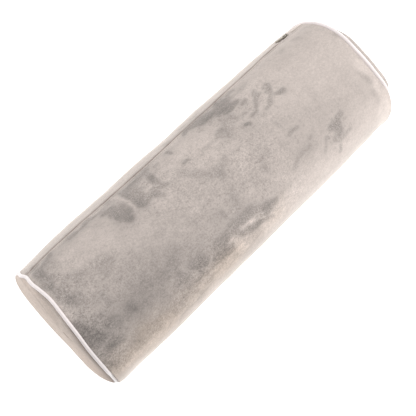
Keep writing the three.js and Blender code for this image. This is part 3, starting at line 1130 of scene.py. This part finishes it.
THREAD_TONE = 0.62  # how dark the thread is beside the pile
TWIST_TONE = 1.3  # how much lighter its strands are than the grooves between them


def thread_cotton(name, pile):
    """Matt sewing thread, a shade darker than the pile."""
    shader = Shader(name)
    twist = shader.noise(shader.place(), 3000.0, 1.0)
    base = [c * THREAD_TONE for c in pile]
    return shader.surface(
        Base_Color=shader.mix(twist, rgba(base), rgba(base, TWIST_TONE)),
        Roughness=0.8,
        Normal=shader.bump(twist, 0.00008, 0.6),
    )


def floor_paint(name):
    """Pale, evenly lit studio floor."""
    shader = Shader(name)
    cloud = shader.noise(shader.place(), 3.0, 2.0)
    return shader.surface(
        Base_Color=shader.mix(cloud, (0.93, 0.93, 0.93, 1.0), (0.95, 0.95, 0.95, 1.0)),
        Roughness=0.95,
        Emission_Color=(1.0, 1.0, 1.0, 1.0),
        Emission_Strength=0.55,
    )


# ---------------------------------------------------------------- operators


def velvet_material():
    """The velvet of the tube, made once for all the pieces that share it."""
    finish = bpy.context.scene.neck_roll_finish
    found = bpy.data.materials.get("brushed_velvet")
    return found or velvet("brushed_velvet", finish.pile, finish.brushed, finish.shade, 0.85)


TUBE_WAVES = 5  # the fewest waves round the tube that count as puckers
PANEL_WAVES = 4  # and round a panel
LAP_HELD = 6 * MM  # on each side of the zip, where the tube is sewn down
FLOOR_HELD = 0.2 * MM  # above the floor, up to where the roll's weight holds it

# Noises on the cloth: the size of their features in metres, their seed and their layers.
LUMP_NOISE = (0.055, 4)
SMALL_LUMP_NOISE = (0.02, 5)
CREASE_NOISE = (0.013, 23)
DRIFT_X_NOISE = (0.014, 9, 3)
DRIFT_UP_NOISE = (0.014, 14, 3)
PANEL_LUMP_SIZE = 0.05
PANEL_DRIFT_NOISE = (0.03, 7, 3)

SMALL_LUMPS = 0.35  # height of the small lumps of the filling beside that of the others
LUMP_FADE = (3 * MM, 14 * MM)  # from an end seam, over which the lumps come in
LAP_FADE = (2.5 * MM, 5 * MM)  # and over which the lap does
FLOOR_FADE = 12 * MM  # above the floor, over which both do
CREASE_UNEVEN = 0.45  # how much noise changes how dark the painted shade in the crease is
DRIFT_X = 2.4  # millimetres along X that the edge of a stroke wanders
DRIFT_UP = 2  # and round the roll
SOFT_DRIFT = 2  # times as much more for what has no edge
LEAST_CRUSH = 0.25  # how crushed the tube is all over
PANEL_DRIFT = 8  # millimetres that the leans of a panel wander
PANEL_CRUSH = 0.6


class NECKROLL_OT_tube(bpy.types.Operator):
    """Make the filled velvet tube with its lapped long seam"""

    bl_idname = "neckroll.tube"
    bl_label = "Velvet Tube"

    def execute(self, context):
        roll = context.scene.neck_roll
        x, radius = tube_rows(roll, context.scene.neck_roll_trim)
        piece = turned_mesh("velvet_tube", len(x), roll.columns)
        row, even = row_and_angle(piece.data)
        angle = crowd(x[row], even)
        points = lay(x[row], radius[row], angle, roll)
        cut = self.cut(x, radius, row, angle, roll)
        moved = swell(piece, points, cut, self.held(x, row, angle, points), roll)
        points = points + puckers(moved, row, even, TUBE_WAVES, roll.pucker_limit)
        settle(piece, points)
        self.sew(piece.data, roll)
        self.brush(piece.data)
        finish_piece(piece, velvet_material(), "velvet", "roll_body")
        return {"FINISHED"}

    def cut(self, x, radius, row, angle, roll):
        """The shape it was cut to: a straight tube, which its end seams gather."""
        steps = np.hypot(np.diff(x), np.diff(radius))
        flat = np.concatenate([[0], np.cumsum(steps)])
        middle = len(x) // 2
        flat = flat - flat[middle] + x[middle]
        return lay(flat[row], full_radius(flat)[row], angle, roll)

    def held(self, x, row, angle, points):
        """1 at the points that are sewn down or rest on the floor, and 0 elsewhere."""
        ends = (row < HIDDEN_ROWS) | (row >= len(x) - HIDDEN_ROWS)
        lap = np.abs(past_seam(x[row], angle)) * full_radius(0) < LAP_HELD
        return np.where(ends | lap | (points[:, 2] < FLOOR_HELD), 1.0, 0.0)

    def sew(self, mesh, roll):
        """Adds the lumps of the filling and the lapped seam, paints shade into its crease, and
        keeps the roll off the floor.
        """
        points = points_of(mesh)
        x = points[:, 0]
        angle, radius = polar(points)
        distance = np.minimum(x - NEAR.x - NEAR.wander(angle), FAR.x + FAR.wander(angle) - x)
        lumps = noise_at(points, *LUMP_NOISE) + SMALL_LUMPS * noise_at(points, *SMALL_LUMP_NOISE)
        lumps = lumps * roll.lump_height * smooth_step(*LUMP_FADE, distance)
        across = past_seam(x, angle) * radius
        sewn = smooth_step(*LAP_FADE, distance)
        uneven = 1 + CREASE_UNEVEN * noise_at(points, *CREASE_NOISE)
        # painted shade down in the crease of the lap
        store(mesh, crease=crease_depth(x, across) * sewn * uneven)
        rise = (lumps + lap_height(x, across) * sewn) * smooth_step(0, FLOOR_FADE, points[:, 2])
        wide = (radius + rise) / np.maximum(radius, TINY)
        points[:, 1] *= wide
        points[:, 2] = np.maximum(AXIS + (points[:, 2] - AXIS) * wide, 0)
        move_points(mesh, points)

    def brush(self, mesh):
        """Keeps how the nap is brushed at each point, with edges that wander like strokes, along
        with painted light and shade in the leans and painted warm floor light.
        """
        points = points_of(mesh)
        angle, _ = polar(points)
        turn = past_seam(points[:, 0], angle) + seam_angle(points[:, 0])
        drift_x = noise_at(points, *DRIFT_X_NOISE) * DRIFT_X
        drift_up = noise_at(points, *DRIFT_UP_NOISE) * DRIFT_UP
        x = points[:, 0] / MM + drift_x
        up = turn * full_radius(MIDDLE) / MM + drift_up
        strokes = round_roll(STROKES)
        darks = [stroke for stroke in strokes if stroke[-1] > 0]
        lights = [stroke for stroke in strokes if stroke[-1] < 0]
        nap, depth = patches(x, up, darks)
        halos = [(*run, width + HALO, dark) for *run, width, dark in darks]
        soft = (x + SOFT_DRIFT * drift_x, up + SOFT_DRIFT * drift_up)
        lean = brushed(*soft, round_roll(LEANS), SOFT)
        lean += HALO_LEAN * brushed(*soft, halos, FIRM)
        lean += LIGHT_LEAN * brushed(x, up, lights, SOFT)
        crush = brushed(*soft, round_roll(CRUSHES), SOFT) + LEAST_CRUSH
        warmth = brushed(*soft, round_roll(WARMTHS), SOFT)
        store(mesh, nap=nap, depth=depth, lean=lean, crush=crush, warmth=warmth)


EASE = 1.03  # how much wider than its seam a round panel was cut
RIM_FADE = (2 * MM, 12 * MM)  # from its seam, over which a panel's lumps come in
SLACK = 0.62  # share of its swell that the far panel lacks at its upper +Y and lower -Y edges
SLACK_STARTS = (-6, 20)  # degrees round the roll over which that begins at the upper one
SLACK_ENDS = (85, 125)  # and ends
SLACK_RIM = (0.25, 0.7)  # shares of the radius over which it grows
LOWER_SLACK = 56  # degrees down where the lower one begins


class NECKROLL_OT_end_panels(bpy.types.Operator):
    """Make the two round panels that close the roll"""

    bl_idname = "neckroll.end_panels"
    bl_label = "Round End Panels"

    def execute(self, context):
        roll = context.scene.neck_roll
        finish = context.scene.neck_roll_finish
        flat = velvet("flat_velvet", finish.flat_pile, finish.flat_brushed, finish.shade, 0.25)
        self.make("near", NEAR, roll.near_crown, NEAR_LEANS, NEAR_SHADES, flat)
        self.make("far", FAR, roll.far_crown, FAR_LEANS, [], velvet_material())
        return {"FINISHED"}

    def slack(self, points):
        """How far the far panel's slack edges lie behind a tight one."""
        angle, radius = polar(points)
        upper = smooth_step(*np.radians(SLACK_STARTS), angle)
        upper = upper * (1 - smooth_step(*np.radians(SLACK_ENDS), angle))
        out = points[:, 0] - FAR.x - FAR.wander(angle) - FAR.cord
        rim = smooth_step(*SLACK_RIM, radius / FAR.radius)
        return SLACK * np.maximum(0, out) * (upper + tuck(angle, LOWER_SLACK)) * rim

    def make(self, end, seam, crown, leans, shades, cloth):
        """One panel, cut wider than its seam so that it puckers along the piping."""
        roll = bpy.context.scene.neck_roll
        x, radius = panel_rows(seam, crown, roll, bpy.context.scene.neck_roll_trim)
        piece = turned_mesh(f"end_panel_{end}", len(x), roll.columns)
        row, angle = row_and_angle(piece.data)
        points = lay(x[row], radius[row], angle, roll)
        if seam is FAR:
            points[:, 0] -= self.slack(points)
        cut = lay(x[row], radius[row] * EASE, angle, roll)
        held = np.where(row < HIDDEN_ROWS, 1.0, 0.0)
        moved = swell(piece, points, cut, held, roll)
        points = points + puckers(moved, row, angle, PANEL_WAVES, roll.panel_limit)
        settle(piece, points)
        self.fill(piece.data, seam, roll)
        self.brush(piece.data, leans, shades)
        finish_piece(piece, cloth, "velvet", f"end_disc_{end}")

    def fill(self, mesh, seam, roll):
        """Adds the lumps of the filling to a panel's outer side."""
        points = points_of(mesh)
        angle, radius = polar(points)
        inset = seam.radius - radius
        outside = seam.side * (points[:, 0] - seam.x - seam.wander(angle)) > MM
        lumps = noise_at(points, PANEL_LUMP_SIZE, 2 + seam.side) * roll.lump_height
        points[:, 0] += seam.side * lumps * smooth_step(*RIM_FADE, inset) * outside
        points[:, 2] = np.maximum(points[:, 2], 0)
        move_points(mesh, points)

    def brush(self, mesh, leans, shades):
        """Keeps how the nap leans at each point, with painted light and shade, and the painted
        shade beside the cord.
        """
        points = points_of(mesh)
        across = points[:, 1] / MM
        up = (points[:, 2] - AXIS) / MM
        drift = noise_at(points, *PANEL_DRIFT_NOISE) * PANEL_DRIFT
        lean = brushed(across + drift, up - drift, leans, SOFT)
        crease = brushed(across, up, shades, FIRM)
        store(mesh, nap=0, depth=0, lean=lean, crush=PANEL_CRUSH, crease=crease, warmth=0)


CORD_SHADE_SPAN = (5, 70)  # degrees down from the top over which painted shade darkens a cord


class NECKROLL_OT_piping(bpy.types.Operator):
    """Make the ring of satin piping in each end seam"""

    bl_idname = "neckroll.piping"
    bl_label = "Satin Piping"

    sides = 20
    columns = 288

    def execute(self, context):
        roll = context.scene.neck_roll
        tape = satin("satin", context.scene.neck_roll_finish.satin)
        for end, seam in (("near", NEAR), ("far", FAR)):
            piece = turned_mesh(f"satin_piping_{end}", self.sides, self.columns, closed=True)
            mesh = piece.data
            row, angle = row_and_angle(mesh)
            self.unwrap(mesh, row, angle, seam)
            around = row * 2 * math.pi / self.sides
            radial = np.cos(around)
            off = [np.sin(around), np.sin(angle) * radial, np.cos(angle) * radial]
            centre = lay(np.full_like(angle, seam.x), np.full_like(angle, seam.radius), angle, roll)
            move_points(mesh, centre + seam.cord * np.stack(off, axis=-1))
            close_up(mesh)
            angle, _ = polar(points_of(mesh))
            # painted shade on the cord's lower -Y side
            store(mesh, soil=smooth_step(*np.radians(CORD_SHADE_SPAN), -angle) * seam.soil)
            finish_piece(piece, tape, "piping", f"piping_{end}")
        return {"FINISHED"}

    def unwrap(self, mesh, row, angle, seam):
        """Maps metres along the cord and round it, evenly across each face."""
        corners = np.array([loop.vertex_index for loop in mesh.loops]).reshape(-1, 4)
        first = corners[:, :1]
        turn = (angle[corners] - angle[first] + math.pi) % (2 * math.pi) - math.pi
        half = self.sides // 2
        steps = (row[corners] - row[first] + half) % self.sides - half
        along = (angle[first] + turn) * seam.radius
        round_cord = (row[first] + steps) * 2 * math.pi * seam.cord / self.sides
        layer = mesh.uv_layers.new(name="UVMap")
        places = np.stack([along, round_cord], axis=-1)
        layer.data.foreach_set("uv", places.astype(np.float32).ravel())


STITCH_MARGIN = 7 * MM  # from an end seam to the first stitch
STITCH_LEAN = (1, 0.04, 0)  # the way a stitch points, a little across the seam


class NECKROLL_OT_lap_stitches(bpy.types.Operator):
    """Make the row of stitches that holds the lap over the zip"""

    bl_idname = "neckroll.lap_stitches"
    bl_label = "Lap Stitches"

    def execute(self, context):
        trim = context.scene.neck_roll_trim
        tube = bpy.data.objects["velvet_tube"]
        size = Vector((trim.thread, trim.thread, trim.stitch_length))
        turn = Vector((0, 0, 1)).rotation_difference(Vector(STITCH_LEAN)).to_matrix()
        start = NEAR.x + STITCH_MARGIN
        count = int((FAR.x - STITCH_MARGIN - start) / trim.stitch_pitch)
        form = bmesh.new()
        for i in range(count + 1):
            x = start + i * trim.stitch_pitch
            angle = seam_angle(x) - STITCH_LINE / full_radius(x)
            place = outer_point(tube, x, angle)
            verts = bmesh.ops.create_uvsphere(form, u_segments=8, v_segments=6, radius=0.5)["verts"]
            bmesh.ops.scale(form, verts=verts, vec=size)
            bmesh.ops.rotate(form, verts=verts, cent=(0, 0, 0), matrix=turn)
            bmesh.ops.translate(form, verts=verts, vec=place)
        piece = new_piece("lap_stitches", form)
        finish_piece(piece, thread_cotton("thread", context.scene.neck_roll_finish.pile), "velvet")
        return {"FINISHED"}


METAL_MERGE = 0.005 * MM  # points of metal closer than this are one
METAL_FLAT = math.radians(1)  # faces that turn less than this are one
METAL_EDGE = math.radians(35)  # edges that turn more than this are rounded


class NECKROLL_OT_zip(bpy.types.Operator):
    """Make the slider of the zip and its pull, with rounded edges"""

    bl_idname = "neckroll.zip"
    bl_label = "Zip Slider and Pull"

    def execute(self, context):
        finish = context.scene.neck_roll_finish
        trim = context.scene.neck_roll_trim
        for node, lacquer in (("zip_slider", finish.lacquer), ("zip_pull", finish.pull_lacquer)):
            form = bmesh.new()
            form.from_mesh(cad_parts[node].data)
            bmesh.ops.remove_doubles(form, verts=form.verts, dist=METAL_MERGE)
            bmesh.ops.dissolve_limit(
                form, angle_limit=METAL_FLAT, verts=form.verts, edges=form.edges
            )
            piece = new_piece(f"{node}_rounded", form)
            bevel = piece.modifiers.new("Rounded edges", "BEVEL")
            bevel.width = trim.metal_bevel
            bevel.segments = 2
            bevel.limit_method = "ANGLE"
            bevel.angle_limit = METAL_EDGE
            finish_piece(piece, lacquered_metal(f"{node}_lacquer", lacquer), "zip_metal", node)
        return {"FINISHED"}


SKY = (1.0, 0.995, 0.99, 1.0)
# Square soft lights: name, place and width in metres, and power in watts.
LIGHTS = [("key", (1.6, -1.0, 1.3), 1.8, 40), ("back", (-0.5, 1.6, 1.7), 2.0, 26)]
FARTHEST = 50  # metres that the camera sees


class NECKROLL_OT_studio(bpy.types.Operator):
    """Make the pale floor, the soft lights and the camera"""

    bl_idname = "neckroll.studio"
    bl_label = "Studio"

    def execute(self, context):
        studio = context.scene.neck_roll_studio
        self.make_floor(studio)
        self.make_sky(studio)
        for light in LIGHTS:
            self.make_light(*light)
        self.make_camera(studio)
        context.scene.view_settings.view_transform = "Standard"
        return {"FINISHED"}

    def make_floor(self, studio):
        form = bmesh.new()
        bmesh.ops.create_grid(form, x_segments=1, y_segments=1, size=studio.floor_size / 2)
        floor = new_piece("floor", form)
        floor.data.materials.append(floor_paint("floor_paint"))

    def make_sky(self, studio):
        world = bpy.data.worlds.new("studio_sky")
        world.use_nodes = True
        background = world.node_tree.nodes["Background"]
        background.inputs["Color"].default_value = SKY
        background.inputs["Strength"].default_value = studio.sky
        bpy.context.scene.world = world

    def make_light(self, name, place, size, power):
        data = bpy.data.lights.new(name, "AREA")
        data.shape = "SQUARE"
        data.size = size
        data.energy = power
        light = bpy.data.objects.new(name, data)
        light.location = place
        aim = Vector((0, 0, AXIS)) - light.location
        light.rotation_euler = aim.to_track_quat("-Z", "Y").to_euler()
        bpy.context.collection.objects.link(light)

    def make_camera(self, studio):
        level = math.cos(studio.elevation)
        away_x = -level * math.sin(studio.azimuth)
        away_y = -level * math.cos(studio.azimuth)
        away = Vector((away_x, away_y, math.sin(studio.elevation)))
        data = bpy.data.cameras.new("camera")
        data.sensor_fit = "HORIZONTAL"
        data.angle = studio.field_of_view
        data.clip_end = FARTHEST
        camera = bpy.data.objects.new("camera", data)
        camera.location = Vector(studio.target) + away * studio.distance
        camera.rotation_euler = (-away).to_track_quat("-Z", "Y").to_euler()
        bpy.context.collection.objects.link(camera)
        bpy.context.scene.camera = camera


PIECES = (
    NECKROLL_OT_studio,
    NECKROLL_OT_tube,
    NECKROLL_OT_end_panels,
    NECKROLL_OT_piping,
    NECKROLL_OT_lap_stitches,
    NECKROLL_OT_zip,
)


class NECKROLL_PT_panel(bpy.types.Panel):
    """Lists the pieces of the neck roll"""

    bl_label = "Neck Roll"
    bl_space_type = "VIEW_3D"
    bl_region_type = "UI"
    bl_category = "Neck Roll"

    def draw(self, context):
        for piece in PIECES:
            self.layout.operator(piece.bl_idname)
        for group in SETTINGS:
            box = self.layout.box()
            for name in SETTINGS[group].__annotations__:
                box.prop(getattr(context.scene, group), name)


SETTINGS = {
    "neck_roll": RollSettings,
    "neck_roll_trim": TrimSettings,
    "neck_roll_finish": FinishSettings,
    "neck_roll_studio": StudioSettings,
}


def register():
    """Adds the settings, the operators and the panel to Blender."""
    for name, group in SETTINGS.items():
        bpy.utils.register_class(group)
        setattr(bpy.types.Scene, name, PointerProperty(type=group))
    for operator in PIECES:
        bpy.utils.register_class(operator)
    bpy.utils.register_class(NECKROLL_PT_panel)


def unregister():
    """Takes them away again."""
    bpy.utils.unregister_class(NECKROLL_PT_panel)
    for operator in reversed(PIECES):
        bpy.utils.unregister_class(operator)
    for name, group in SETTINGS.items():
        delattr(bpy.types.Scene, name)
        bpy.utils.unregister_class(group)


def main():
    """Builds every piece in order."""
    register()
    bpy.ops.neckroll.studio()
    bpy.ops.neckroll.tube()
    bpy.ops.neckroll.end_panels()
    bpy.ops.neckroll.piping()
    bpy.ops.neckroll.lap_stitches()
    bpy.ops.neckroll.zip()


if __name__ == "__main__":
    main()
